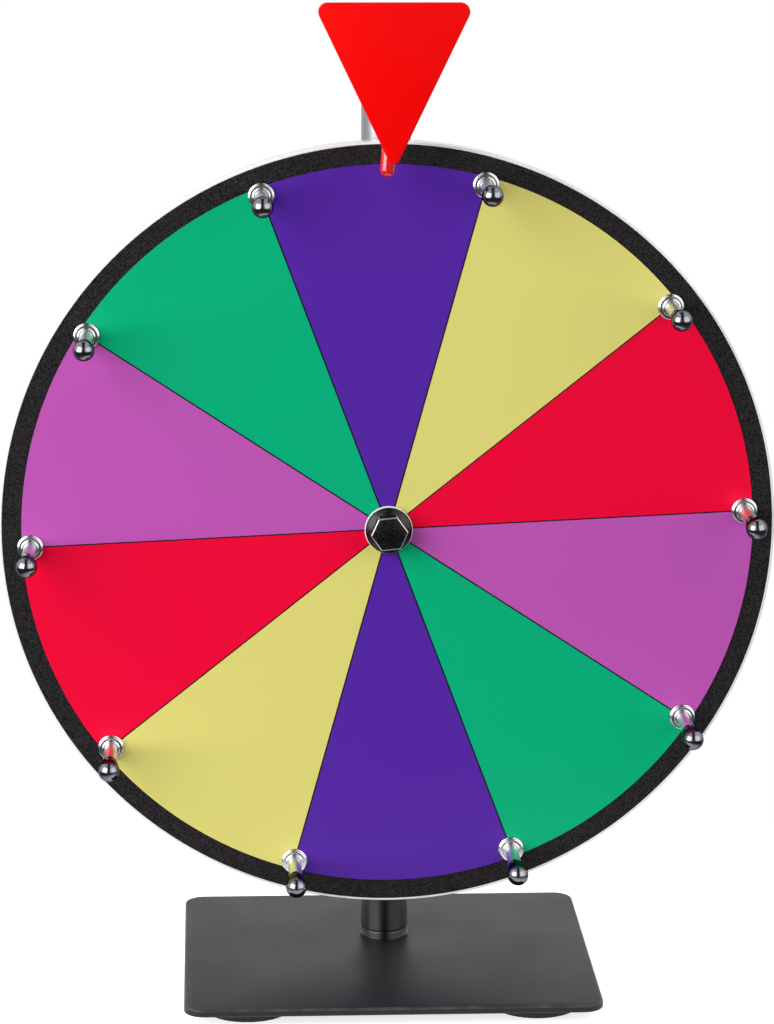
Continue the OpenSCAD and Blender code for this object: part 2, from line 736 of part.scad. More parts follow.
module hub_screws() {
    head_r = hub_screw_head_d / 2;
    color(steel) on_axle(board_back + hub_flange_t) at_hub_screws() difference() {
        union() {
            translate([0, 0, -hub_flange_t - hub_screw_bite])
                cylinder(d = hub_screw_d, h = hub_flange_t + hub_screw_bite + 1);
            rotate_extrude()
                polygon([[0, 0], [head_r, 0], [head_r, hub_screw_head_h * 0.45],
                         [head_r * 0.65, hub_screw_head_h], [0, hub_screw_head_h]]);
        }
        for (a = [0, 90])
            rotate([0, 0, a]) translate([-head_r * 0.45, -hub_screw_slot / 2, hub_screw_head_h / 2])
                cube([head_r * 0.9, hub_screw_slot, hub_screw_head_h]);
    }
}

// Open retaining ring in the groove behind the rear bearing
module bearing_circlip() {
    r_out = bearing_d / 2 + circlip_depth - seat_fit;
    reach = 2 * r_out;
    color(steel) on_axle(circlip_y) difference() {
        ring(r_out, r_out - circlip_ring, circlip_t);
        translate([0, 0, -1]) linear_extrude(circlip_t + 2)
            polygon([[0, 0], [reach * sin(circlip_open), reach * cos(circlip_open)],
                     [-reach * sin(circlip_open), reach * cos(circlip_open)]]);
    }
}

// Pointer

module pointer_bolt() {
    head = pole_back + saddle_t;
    shank = head + holder_gap + pointer_bolt_bite;
    color(steel) on_axle(head) at_height(bolt_z) union() {
        translate([0, 0, -shank]) cylinder(d = pointer_bolt_d, h = shank + 1);
        hex_head(pointer_head_af, pointer_head_h, nut_face(pointer_head_af));
    }
}

module pointer_sleeve() {
    color("#c3c5c8") on_axle() difference() {
        at_height(bolt_z) translate([0, 0, -holder_gap])
            ring(pointer_sleeve_d / 2, pointer_bolt_d / 2 + bolt_fit, pole_depth + holder_gap - 1);
        at_height(bolt_z) pole_cut(pole_r + seat_fit, pointer_sleeve_d);
    }
}

// Block behind the pointer plate, forked at its lower end around the finger's eye
module pointer_holder() {
    depth = pointer_back - holder_gap;
    top = bolt_over_pin + holder_over_bolt;
    color("#1d1d1f") on_axle(-pointer_back) at_height(pin_z) difference() {
        union() {
            cylinder(r = cheek_r, h = depth);
            translate([-holder_w / 2, -top, 0]) cube([holder_w, top, depth]);
        }
        translate([-holder_w, -slot_r, pointer_back - finger_out - slot_w / 2])
            cube([2 * holder_w, 2 * slot_r + cheek_r, slot_w]);
        translate([0, 0, pin_end]) cylinder(r = pin_d / 2 + seat_fit, h = depth);
        translate([0, -bolt_over_pin, depth - pointer_bolt_bite - seat_fit])
            cylinder(r = pointer_bolt_d / 2 + seat_fit, h = pointer_bolt_bite + 1);
    }
}

// Triangle through the tangent points of its three round corners, with the corners on it
module pointer_plate() {
    top = pointer_tip_z + pointer_h;
    corner = [pointer_w / 2 - pointer_corner_r, pointer_corner_r - top];
    tip = [0, -pointer_tip_z - pointer_tip_r];
    side = tip - corner;
    lean = atan2(side[1], side[0]) - acos((pointer_corner_r - pointer_tip_r) / norm(side));
    out = [cos(lean), sin(lean)];
    side_top = corner + pointer_corner_r * out;
    side_end = tip + pointer_tip_r * out;
    color("#f40505") on_axle(-pointer_out) linear_extrude(pointer_t) union() {
        polygon([[corner[0], -top], side_top, side_end, [-side_end[0], side_end[1]],
                 [-side_top[0], side_top[1]], [-corner[0], -top]]);
        for (x = [-1, 1]) translate([x * corner[0], corner[1]]) circle(r = pointer_corner_r);
        translate(tip) circle(r = pointer_tip_r);
    }
}

module finger_pin() {
    color(steel) on_axle(-pointer_back + pin_end) at_height(pin_z)
        cylinder(d = pin_d, h = pointer_back - holder_gap - pin_end);
}

// Round finger with a domed tip, on a flat eye that turns on the pin
module finger() {
    r = finger_d / 2;
    color("#d8101c") on_axle(-finger_out) at_height(pin_z) rotate([0, 0, finger_lean]) difference() {
        union() {
            translate([0, 0, -eye_t / 2]) cylinder(d = finger_eye_d, h = eye_t);
            rotate([-90, 0, 0]) cylinder(r = r, h = finger_len - r);
            translate([0, finger_len - r, 0]) sphere(r = r, $fn = 48);
        }
        translate([0, 0, -eye_t]) cylinder(r = pin_d / 2 + pin_fit, h = 2 * eye_t);
    }
}

base_plate();
foot(-1, -1);  // foot_front_left
foot(1, -1);  // foot_front_right
foot(-1, 1);  // foot_rear_left
foot(1, 1);  // foot_rear_right
base_bolt();
base_washer();
pole_foot();
lower_pole();
pole_joiner();
upper_pole();
pole_cap();
axle_bolt();
axle_washer();
bearing_inner_rings();
bearing_spacer();
axle_spacer();
saddle(0, axle_af, axle_d);  // axle_saddle
axle_nut();
saddle(bolt_z, pointer_head_af, pointer_bolt_d);  // pointer_saddle
pointer_bolt();
pointer_sleeve();
pointer_holder();
pointer_plate();
finger_pin();
finger();
wheel_board();
edge_band();
face_sheet();
wheel_hub();
hub_screws();
bearing_outer_rings();
bearing_circlip();
bearing_balls();
bearing_cages();
peg_caps();
peg_collars();
peg_washers();
peg_nuts();
for (i = [1:sectors]) panel(i);
for (i = [1:sectors]) peg(i);
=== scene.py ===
import json
import math
import bmesh
import bpy
from mathutils import Matrix, Vector

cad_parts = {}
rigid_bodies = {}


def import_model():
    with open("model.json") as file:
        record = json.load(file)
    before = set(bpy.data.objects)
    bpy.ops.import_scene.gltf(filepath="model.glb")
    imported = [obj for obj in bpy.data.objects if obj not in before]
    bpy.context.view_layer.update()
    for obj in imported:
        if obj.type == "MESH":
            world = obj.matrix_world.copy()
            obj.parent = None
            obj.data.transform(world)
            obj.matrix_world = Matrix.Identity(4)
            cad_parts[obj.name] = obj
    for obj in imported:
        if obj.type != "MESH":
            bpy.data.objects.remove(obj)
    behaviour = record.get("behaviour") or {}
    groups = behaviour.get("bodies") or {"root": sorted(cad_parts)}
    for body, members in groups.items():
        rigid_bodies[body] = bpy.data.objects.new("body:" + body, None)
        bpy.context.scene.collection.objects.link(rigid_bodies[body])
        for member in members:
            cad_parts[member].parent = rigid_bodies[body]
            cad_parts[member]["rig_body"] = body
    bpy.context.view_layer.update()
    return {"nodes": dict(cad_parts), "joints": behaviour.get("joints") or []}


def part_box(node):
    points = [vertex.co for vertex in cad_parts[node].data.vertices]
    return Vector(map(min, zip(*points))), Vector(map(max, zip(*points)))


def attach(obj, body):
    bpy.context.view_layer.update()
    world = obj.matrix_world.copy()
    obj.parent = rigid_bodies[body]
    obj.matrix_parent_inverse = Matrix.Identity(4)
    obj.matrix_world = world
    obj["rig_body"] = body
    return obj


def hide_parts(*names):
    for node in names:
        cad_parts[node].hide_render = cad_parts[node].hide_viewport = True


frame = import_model()
scene = bpy.context.scene
mm = 0.001

joints = {joint["name"]: joint for joint in frame["joints"]}
axle = Vector(joints["wheel_spin"]["pos_m"])  # in the front face of the colour panels
onAxle = Matrix.Translation(axle) @ Matrix.Rotation(math.radians(90), 4, "X")  # local Z to the front, Y up


def linear(code):  # sRGB hex to linear colour
    channels = [int(code[i:i + 2], 16) / 255 for i in (1, 3, 5)]
    return [c / 12.92 if c <= 0.04045 else ((c + 0.055) / 1.055) ** 2.4 for c in channels] + [1]


def dimmed(code, share):  # the same colour with only a share of its light
    return [c * share for c in linear(code)[:3]] + [1]


def perMm(size):  # texture scale whose features are about this many millimetres wide
    return 1 / (size * mm)


def addNode(tree, kind, inputs=None, **settings):
    node = tree.nodes.new("ShaderNode" + kind)
    for name, value in settings.items():
        setattr(node, name, value)
    for name, value in (inputs or {}).items():
        if isinstance(value, bpy.types.NodeSocket):
            tree.links.new(value, node.inputs[name])
        else:
            node.inputs[name].default_value = value
    return node


def startMaterial(name):
    material = bpy.data.materials.new(name)
    material.use_nodes = True
    tree = material.node_tree
    tree.nodes.clear()
    return material, tree, addNode(tree, "TexCoord").outputs["Object"]


def endMaterial(tree, inputs):
    surface = addNode(tree, "BsdfPrincipled", inputs)
    addNode(tree, "OutputMaterial", {"Surface": surface.outputs["BSDF"]})


# A number or colour that drifts from first to second with a pattern, which lies mostly between 0.3 and 0.7
def drift(tree, pattern, first, second):
    if isinstance(first, float):
        limits = {"From Min": 0.3, "From Max": 0.7, "To Min": first, "To Max": second}
        return addNode(tree, "MapRange", {"Value": pattern, **limits}).outputs["Result"]
    colours = {"Factor": pattern, 6: first, 7: second}  # the Mix node's colours are inputs 6, 7 and output 2
    return addNode(tree, "Mix", colours, data_type="RGBA").outputs[2]


# Printed vinyl film: flat ink under a satin laminate, so the colour stays even and pegs mirror only as a blur
def printedFilm(name, ink):
    material, tree, spot = startMaterial(name)
    cloud = addNode(tree, "TexNoise", {"Vector": spot, "Scale": perMm(60), "Detail": 3.0}).outputs["Fac"]
    peel = addNode(tree, "TexNoise", {"Vector": spot, "Scale": perMm(1.6), "Detail": 2.0}).outputs["Fac"]
    bump = addNode(tree, "Bump", {"Height": peel, "Strength": 0.04, "Distance": 0.1 * mm})
    endMaterial(tree, {"Base Color": drift(tree, cloud, linear(ink), dimmed(ink, 0.93)),
                       "Roughness": drift(tree, cloud, 0.3, 0.38),
                       "IOR": 1.5, "Specular IOR Level": 0.2, "Normal": bump.outputs["Normal"]})
    return material


panelFilms = {
    "purple": printedFilm("printedVinylPurple", "#5526a4"),
    "yellow": printedFilm("printedVinylYellow", "#e2da7a"),
    "red": printedFilm("printedVinylRed", "#f30338"),
    "pink": printedFilm("printedVinylPink", "#bf56b5"),
    "green": printedFilm("printedVinylGreen", "#00b17b"),
}

# Grained black vinyl: a pressed leather-like grain that breaks the light into fine grey specks
blackSheet, tree, spot = startMaterial("grainedBlackVinyl")
cells = addNode(tree, "TexVoronoi", {"Vector": spot, "Scale": perMm(0.32)})
grey = addNode(tree, "SeparateColor", {"Color": cells.outputs["Color"]}).outputs["Red"]  # one for each grain
speck = addNode(tree, "ValToRGB", {"Fac": grey})
for stop, position, colour in zip(speck.color_ramp.elements, (0.3, 1.0), ("#040404", "#363235")):
    stop.position = position
    stop.color = linear(colour)
bump = addNode(tree, "Bump", {"Height": cells.outputs["Distance"], "Strength": 0.25, "Distance": 0.2 * mm})
endMaterial(tree, {"Base Color": speck.outputs["Color"], "Roughness": drift(tree, grey, 0.45, 0.55),
                   "IOR": 1.5, "Specular IOR Level": 0.14, "Normal": bump.outputs["Normal"]})

# Dark chrome plate on the turned caps: a smoky mirror, with only a breath of polishing haze
darkChrome, tree, spot = startMaterial("polishedDarkChrome")
haze = addNode(tree, "TexNoise", {"Vector": spot, "Scale": perMm(5), "Detail": 4.0}).outputs["Fac"]
endMaterial(tree, {"Base Color": drift(tree, haze, linear("#7e8085"), linear("#727479")), "Metallic": 1.0,
                   "Specular Tint": linear("#7e7f84"),  # keeps the rim as dark as the middle
                   "Roughness": drift(tree, haze, 0.06, 0.1)})


# Nickel plate on turned brass: stems stay satin and take a tint of the panels, collars are buffed brighter
def nickelPlate(name, colour, low, high):
    material, tree, spot = startMaterial(name)
    bloom = addNode(tree, "TexNoise", {"Vector": spot, "Scale": perMm(8), "Detail": 2.0}).outputs["Fac"]
    endMaterial(tree, {"Base Color": drift(tree, bloom, linear(colour), dimmed(colour, 0.92)),
                       "Metallic": 1.0, "Roughness": drift(tree, bloom, low, high)})
    return material


satinNickel = nickelPlate("turnedSatinNickel", "#eeefef", 0.32, 0.38)
brightNickel = nickelPlate("buffedBrightNickel", "#d2d4d7", 0.16, 0.2)

# Powder-coated steel: baked powder leaves a fine peel and a satin sheen, and the rounded edges go a little
# paler, partly rubbed wear and partly painted highlight
basePowder, tree, spot = startMaterial("powderCoatedSteelCharcoal")
peel = addNode(tree, "TexNoise", {"Vector": spot, "Scale": perMm(0.8), "Detail": 3.0}).outputs["Fac"]
cloud = addNode(tree, "TexNoise", {"Vector": spot, "Scale": perMm(35), "Detail": 4.0}).outputs["Fac"]
scuffAndSheen = addNode(tree, "TexNoise", {"Vector": spot, "Scale": perMm(6), "Detail": 6.0, "Roughness": 0.7})
edge = addNode(tree, "Attribute", attribute_name="edge").outputs["Fac"]
# Rounded edges pale towards #7a7a7a: partly rubbed wear, partly a painted highlight along the bevels
rubAndSheenAmount = drift(tree, scuffAndSheen.outputs["Fac"], 0.0, 0.3)
edgeWearAndSheen = addNode(tree, "Math", {0: edge, 1: rubAndSheenAmount}, operation="MULTIPLY").outputs["Value"]
coat = drift(tree, cloud, linear("#202021"), dimmed("#202021", 0.8))
bump = addNode(tree, "Bump", {"Height": peel, "Strength": 0.12, "Distance": 0.1 * mm})
endMaterial(tree, {"Base Color": drift(tree, edgeWearAndSheen, coat, linear("#7a7a7a")),
                   "Roughness": drift(tree, cloud, 0.4, 0.48),
                   "IOR": 1.5, "Specular IOR Level": 0.23, "Normal": bump.outputs["Normal"]})

# Black lacquer on a turned tube: the lathe lines beneath draw each highlight out into an upright band
poleLacquer, tree, spot = startMaterial("lacqueredTurnedSteel")
squeeze = addNode(tree, "Mapping", {"Vector": spot, "Scale": (0.02, 0.02, 1)}).outputs["Vector"]
lathe = addNode(tree, "TexNoise", {"Vector": squeeze, "Scale": perMm(0.8), "Detail": 2.0})  # coarse, to show
lines = lathe.outputs["Fac"]
tangent = addNode(tree, "Tangent", direction_type="RADIAL", axis="Z").outputs["Tangent"]
endMaterial(tree, {"Base Color": drift(tree, lines, linear("#0b0b0c"), linear("#070708")),
                   "Roughness": drift(tree, lines, 0.3, 0.36), "IOR": 1.5, "Specular IOR Level": 0.95,
                   "Anisotropic": 0.9, "Anisotropic Rotation": 0.25, "Tangent": tangent})

# Brushed aluminium tube: fine lines along the tube stretch every highlight lengthwise
brushedAluminium, tree, spot = startMaterial("brushedAluminium")
stretch = addNode(tree, "Mapping", {"Vector": spot, "Scale": (1, 1, 0.02)}).outputs["Vector"]
brush = addNode(tree, "TexNoise", {"Vector": stretch, "Scale": perMm(0.5), "Detail": 3.0})  # coarse, to show
lines = brush.outputs["Fac"]
bump = addNode(tree, "Bump", {"Height": lines, "Strength": 0.06, "Distance": 0.05 * mm})
endMaterial(tree, {"Base Color": drift(tree, lines, linear("#9b9da1"), linear("#85878b")), "Metallic": 1.0,
                   "Roughness": drift(tree, lines, 0.36, 0.46), "Normal": bump.outputs["Normal"]})

# Zinc-plated steel: bright bluish metal with a soft, uneven passivated bloom
zincPlate, tree, spot = startMaterial("zincPlatedSteel")
bloom = addNode(tree, "TexNoise", {"Vector": spot, "Scale": perMm(2.5), "Detail": 4.0}).outputs["Fac"]
endMaterial(tree, {"Base Color": drift(tree, bloom, linear("#b9bfc6"), linear("#a3a8ae")), "Metallic": 1.0,
                   "Roughness": drift(tree, bloom, 0.22, 0.4)})

# Black oxide on steel: oily black, with bare metal glinting through along the worn edges
blackOxide, tree, spot = startMaterial("blackOxideSteel")
etch = addNode(tree, "TexNoise", {"Vector": spot, "Scale": perMm(0.5), "Detail": 4.0, "Roughness": 0.7})
bite = etch.outputs["Fac"]
pits = addNode(tree, "ValToRGB", {"Fac": bite})
for stop, position, colour in zip(pits.color_ramp.elements, (0.56, 0.76), ("#060607", "#55555c")):
    stop.position = position
    stop.color = linear(colour)
edge = addNode(tree, "Attribute", attribute_name="edge").outputs["Fac"]
rubAndSheenAmount = drift(tree, bite, 0.5, 0.9)
edgeWearAndSheen = addNode(tree, "Math", {0: edge, 1: rubAndSheenAmount}, operation="MULTIPLY").outputs["Value"]
bump = addNode(tree, "Bump", {"Height": bite, "Strength": 0.3, "Distance": 0.1 * mm})
endMaterial(tree, {"Base Color": drift(tree, edgeWearAndSheen, pits.outputs["Color"], linear("#c4c4c8")),
                   "Metallic": edgeWearAndSheen, "Roughness": drift(tree, bite, 0.22, 0.32),
                   "Specular IOR Level": 0.3, "Normal": bump.outputs["Normal"]})


# Plastic and rubber, moulded, turned, extruded or foamed: a fine even grain dulls the shine
def plastic(name, colour, size, low, high, depth):
    material, tree, spot = startMaterial(name)
    grain = addNode(tree, "TexNoise", {"Vector": spot, "Scale": perMm(size), "Detail": 3.0}).outputs["Fac"]
    cloud = addNode(tree, "TexNoise", {"Vector": spot, "Scale": perMm(25), "Detail": 3.0}).outputs["Fac"]
    bump = addNode(tree, "Bump", {"Height": grain, "Strength": depth, "Distance": 0.1 * mm})
    endMaterial(tree, {"Base Color": drift(tree, cloud, linear(colour), dimmed(colour, 0.88)),
                       "Roughness": drift(tree, grain, low, high),
                       "IOR": 1.49, "Normal": bump.outputs["Normal"]})
    return material


footRubber = plastic("mouldedRubber", "#141414", 0.5, 0.6, 0.8, 0.3)
blackAbs = plastic("mouldedBlackAbs", "#1c1c1e", 0.6, 0.35, 0.5, 0.2)
hubNylon = plastic("mouldedBlackNylon", "#232325", 0.8, 0.4, 0.55, 0.15)
whiteNylon = plastic("turnedWhiteNylon", "#f0f0ee", 0.8, 0.35, 0.5, 0.05)
whiteBand = plastic("extrudedWhiteEdgeBand", "#fafaf9", 1.5, 0.12, 0.18, 0.02)
whiteBoard = plastic("foamedWhiteBoard", "#ececea", 0.5, 0.5, 0.65, 0.2)

# Cast red acrylic: even colour through the sheet, with a flat satin face that hardly mirrors
redAcrylic, tree, spot = startMaterial("castRedAcrylic")
cloud = addNode(tree, "TexNoise", {"Vector": spot, "Scale": perMm(30), "Detail": 3.0}).outputs["Fac"]
endMaterial(tree, {"Base Color": drift(tree, cloud, linear("#fb0101"), linear("#f00101")),
                   "Roughness": drift(tree, cloud, 0.38, 0.46), "IOR": 1.49, "Specular IOR Level": 0.12})

# Soft red vinyl sleeve: dipped and glossy, a little light goes in and glows at the tip
redVinyl, tree, spot = startMaterial("dippedRedVinyl")
skin = addNode(tree, "TexNoise", {"Vector": spot, "Scale": perMm(2), "Detail": 2.0}).outputs["Fac"]
endMaterial(tree, {"Base Color": drift(tree, skin, linear("#f01626"), linear("#d90f1f")),
                   "Roughness": drift(tree, skin, 0.1, 0.18), "IOR": 1.53, "Subsurface Weight": 0.2,
                   "Subsurface Radius": (1.0, 0.25, 0.2), "Subsurface Scale": 2 * mm,
                   "Coat Weight": 1.0, "Coat Roughness": 0.06})


# Bearing steel and pressed brass: bright metal with hardly any texture left
def brightMetal(name, colour, low, high):
    material, tree, spot = startMaterial(name)
    lines = addNode(tree, "TexNoise", {"Vector": spot, "Scale": perMm(1.2), "Detail": 3.0}).outputs["Fac"]
    endMaterial(tree, {"Base Color": drift(tree, lines, linear(colour), dimmed(colour, 0.9)),
                       "Metallic": 1.0, "Roughness": drift(tree, lines, low, high)})
    return material


bearingSteel = brightMetal("groundBearingSteel", "#cfd1d4", 0.12, 0.2)
cageBrass = brightMetal("pressedBrass", "#b5904f", 0.25, 0.35)
print("materials done")

# How meshes are made: welds in metres, angles in degrees, steps round a corner, sides of each turned piece
meshing = {"weld": 1e-7, "cadWeld": 1e-6, "flatAngle": 0.5, "sharpAngle": 35, "arcStep": 7, "cornerSteps": 5}
sides = {"foot": 64, "pole": 96, "band": 256, "peg": 56, "bolt": 72, "finger": 56}


def newPiece(bm, name, node, material):
    bmesh.ops.remove_doubles(bm, verts=bm.verts, dist=meshing["weld"])
    bmesh.ops.recalc_face_normals(bm, faces=bm.faces)
    mesh = bpy.data.meshes.new(name)
    bm.to_mesh(mesh)
    bm.free()
    mesh.materials.append(material)
    mesh.shade_smooth()
    mesh.set_sharp_from_angle(angle=math.radians(meshing["sharpAngle"]))
    piece = bpy.data.objects.new(name, mesh)
    scene.collection.objects.link(piece)
    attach(piece, frame["nodes"][node]["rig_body"])
    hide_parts(node)


def roundEdges(bm, edges, size, segments=3):
    wearAndSheenLayer = bm.faces.layers.float.get("edge") or bm.faces.layers.float.new("edge")
    rounded = bmesh.ops.bevel(bm, geom=edges, offset=size * mm, offset_type="OFFSET", affect="EDGES",
                              segments=segments, profile=0.5, clamp_overlap=True, material=-1)
    for face in rounded["faces"]:
        face[wearAndSheenLayer] = 1.0  # materials read this as the worn edges, and the base plate also as a painted highlight


def sharpEdges(bm):
    limit = math.radians(meshing["sharpAngle"])
    return [e for e in bm.edges if e.is_manifold and e.calc_face_angle(0) > limit]


# A copy of a CAD solid with its flat faces joined and its sharp edges rounded
def softCopy(node, size):
    bm = bmesh.new()
    bm.from_mesh(frame["nodes"][node].data)
    bmesh.ops.remove_doubles(bm, verts=bm.verts, dist=meshing["cadWeld"])
    bmesh.ops.dissolve_limit(bm, angle_limit=math.radians(meshing["flatAngle"]),
                             verts=bm.verts[:], edges=bm.edges[:])
    roundEdges(bm, sharpEdges(bm), size)
    return bm


# Draws half a section as an edge chain and spins it about local Z. A step is (radius, height),
# (radius, height, corner round) or ("arc", centre radius, centre height, degrees)
def turnOutline(bm, steps, sideCount, closed=False):
    start = last = bm.verts.new((steps[0][0] * mm, 0, steps[0][1] * mm))
    corners = []
    for step in steps[1:]:
        if step[0] == "arc":
            arc = bmesh.ops.spin(bm, geom=[last], cent=(step[1] * mm, 0, step[2] * mm), axis=(0, 1, 0),
                                 angle=math.radians(step[3]), steps=int(step[3] / meshing["arcStep"]))
            last = arc["geom_last"][0]
            continue
        last = bmesh.ops.extrude_vert_indiv(bm, verts=[last])["verts"][0]
        last.co = (step[0] * mm, 0, step[1] * mm)
        if len(step) == 3:
            corners.append((last, step[2]))
    if closed:
        bm.edges.new((last, start))
    for vert, size in corners:
        bmesh.ops.bevel(bm, geom=[vert], offset=size * mm, offset_type="OFFSET", affect="VERTICES",
                        segments=meshing["cornerSteps"], profile=0.5, clamp_overlap=True, material=-1)
    chain = [v for v in bm.verts if v.is_wire] + [e for e in bm.edges if e.is_wire]
    bmesh.ops.spin(bm, geom=chain, cent=(0, 0, 0), axis=(0, 0, 1), angle=math.radians(360),
                   steps=sideCount, use_merge=True)
    bmesh.ops.remove_doubles(bm, verts=bm.verts, dist=meshing["weld"])


def threadSteps(radius, start, end, pitch, depth):  # grooves of a thread, from start to end along the axis
    steps = []
    z = start
    while z - pitch > end:
        steps += [(radius, z), (radius - depth, z - pitch / 2)]
        z -= pitch
    return steps + [(radius, z), (radius - depth, end)]


def move(bm, matrix):
    bmesh.ops.transform(bm, matrix=matrix, verts=bm.verts)


def middle(node):  # the middle of a node's plan, on the ground
    low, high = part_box(node)
    return Vector(((low.x + high.x) / 2, (low.y + high.y) / 2, 0))


def heights(node):  # a node's bottom and top in millimetres
    low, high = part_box(node)
    return low.z / mm, high.z / mm


# Base plate, feet and pole
basePlate = {"cornerRound": 8, "cornerSteps": 14, "topRound": 0.9, "bottomRound": 0.4, "rimSteps": 4}
low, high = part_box("base_plate")
bm = bmesh.new()
bmesh.ops.create_cube(bm, size=1)
bmesh.ops.scale(bm, vec=high - low, verts=bm.verts)
bmesh.ops.translate(bm, vec=(low + high) / 2, verts=bm.verts)
upright = [e for e in bm.edges if abs(e.verts[0].co.z - e.verts[1].co.z) > mm]
bmesh.ops.bevel(bm, geom=upright, offset=basePlate["cornerRound"] * mm, offset_type="OFFSET", affect="EDGES",
                segments=basePlate["cornerSteps"], profile=0.5, material=-1)
for side, size in ((1, basePlate["topRound"]), (-1, basePlate["bottomRound"])):
    rim = [f for f in bm.faces if f.normal.z * side > 0.9][0]
    roundEdges(bm, rim.edges[:], size, basePlate["rimSteps"])
newPiece(bm, "basePlate", "base_plate", basePowder)

foot = {"radius": 17.5, "height": 5, "topEdge": 0.3, "edge": 0.9,
        "grooveIn": 11, "grooveOut": 13.5, "groove": 0.5, "grooveEdge": 0.2}
footOutline = [(0, foot["height"]), (foot["radius"], foot["height"], foot["topEdge"]),
               (foot["radius"], 0, foot["edge"]), (foot["grooveOut"], 0, foot["grooveEdge"]),
               (foot["grooveOut"], foot["groove"], foot["grooveEdge"]),
               (foot["grooveIn"], foot["groove"], foot["grooveEdge"]),
               (foot["grooveIn"], 0, foot["grooveEdge"]), (0, 0)]
for node in ("foot_front_left", "foot_front_right", "foot_rear_left", "foot_rear_right"):
    bm = bmesh.new()
    turnOutline(bm, footOutline, sides["foot"])
    move(bm, Matrix.Translation(middle(node)))
    newPiece(bm, "rubber" + node.title().replace("_", ""), node, footRubber)

pole = {"radius": 9.75, "bore": 8.25, "plug": 8.15, "bevel": 0.35, "undercut": 0.8}
poleSpot = middle("lower_pole")
tubes = (("lower_pole", "lowerPole", "pole_coat", poleLacquer, pole["undercut"]),
         ("upper_pole", "upperPole", "satin_aluminium", brushedAluminium, pole["bevel"]))
for node, name, slotName, material, lowerEdge in tubes:
    bottom, top = heights(node)
    bm = bmesh.new()
    turnOutline(bm, [(pole["bore"], bottom), (pole["radius"], bottom, lowerEdge),
                     (pole["radius"], top, pole["bevel"]), (pole["bore"], top)], sides["pole"], closed=True)
    move(bm, Matrix.Translation(poleSpot))
    newPiece(bm, name, node, material)

poleFoot = {"collar": 3.4, "collarEdge": 0.2, "plugEdge": 0.5, "lines": (2.1, 1.2), "lineDepth": 0.2}
bottom, top = heights("pole_foot")
shoulder = bottom + poleFoot["collar"]
lineDepth = poleFoot["lineDepth"]
collarLines = []  # two fine turned lines round the collar
for rise in poleFoot["lines"]:
    z = bottom + rise
    collarLines += [(pole["radius"], z + lineDepth), (pole["radius"] - lineDepth, z),
                    (pole["radius"], z - lineDepth)]
bm = bmesh.new()
turnOutline(bm, [(0, top), (pole["plug"], top, poleFoot["plugEdge"]), (pole["plug"], shoulder),
                 (pole["radius"], shoulder, poleFoot["collarEdge"])] + collarLines
            + [(pole["radius"], bottom, poleFoot["collarEdge"]), (0, bottom)], sides["pole"])
move(bm, Matrix.Translation(poleSpot))
newPiece(bm, "poleFoot", "pole_foot", poleLacquer)

poleCap = {"disc": 2, "edge": 1.2, "lip": 0.15, "plugEdge": 0.3}
bottom, top = heights("pole_cap")
underside = top - poleCap["disc"]
bm = bmesh.new()
turnOutline(bm, [(0, top), (pole["radius"], top, poleCap["edge"]),
                 (pole["radius"], underside, poleCap["lip"]), (pole["plug"], underside),
                 (pole["plug"], bottom, poleCap["plugEdge"]), (0, bottom)], sides["pole"])
move(bm, Matrix.Translation(poleSpot))
newPiece(bm, "poleCap", "pole_cap", brushedAluminium)
print("base and pole done")

# Wheel: white edge band, pegs, and their caps, collars and washers. Heights are from the panels' front face
edgeBand = {"inner": 151.5, "outer": 152.4, "front": -0.4, "rear": -8.8, "edge": 0.4}
bm = bmesh.new()
turnOutline(bm, [(edgeBand["inner"], edgeBand["front"]),
                 (edgeBand["outer"], edgeBand["front"], edgeBand["edge"]),
                 (edgeBand["outer"], edgeBand["rear"], edgeBand["edge"]),
                 (edgeBand["inner"], edgeBand["rear"])], sides["band"], closed=True)
move(bm, onAxle)
newPiece(bm, "edgeBand", "edge_band", whiteBand)

peg = {"count": 10, "circle": 140.5, "turn": -20.6, "stem": 2.6, "seat": 0.8, "shoulder": 22.4, "spigot": 30,
       "spigotEdge": 0.3, "stud": 2, "studEnd": -13.8, "threadStart": -11, "thread": 0.7, "threadDepth": 0.35}
pegOut = Matrix.Translation((0, peg["circle"] * mm, 0))  # from the axle out to the circle of pegs
pegOutline = [(0, peg["spigot"]), (peg["stud"], peg["spigot"], peg["spigotEdge"]),
              (peg["stud"], peg["shoulder"]), (peg["stem"], peg["shoulder"]),
              (peg["stem"], peg["seat"]), (peg["stud"], peg["seat"])]
pegOutline += threadSteps(peg["stud"], peg["threadStart"], peg["studEnd"], peg["thread"], peg["threadDepth"])
pegOutline += [(0, peg["studEnd"])]
for i in range(peg["count"]):
    turned = Matrix.Rotation(-math.radians(peg["turn"] + i * 360 / peg["count"]), 4, "Z")
    bm = bmesh.new()
    turnOutline(bm, pegOutline, sides["peg"])
    move(bm, onAxle @ turned @ pegOut)
    newPiece(bm, f"peg{i + 1}", f"peg_{i + 1}", satinNickel)

pegCap = {"length": 38.6, "radius": 4.1, "wide": 33, "wideRound": 1.4, "rear": 2.78, "low": 22.4,
          "bore": 2.02, "depth": 30.02}
capOutline = [(0, pegCap["length"]), ("arc", 0, pegCap["length"] - pegCap["radius"], 90),
              (pegCap["radius"], pegCap["wide"], pegCap["wideRound"]), (pegCap["rear"], pegCap["low"]),
              (pegCap["bore"], pegCap["low"]), (pegCap["bore"], pegCap["depth"]), (0, pegCap["depth"])]

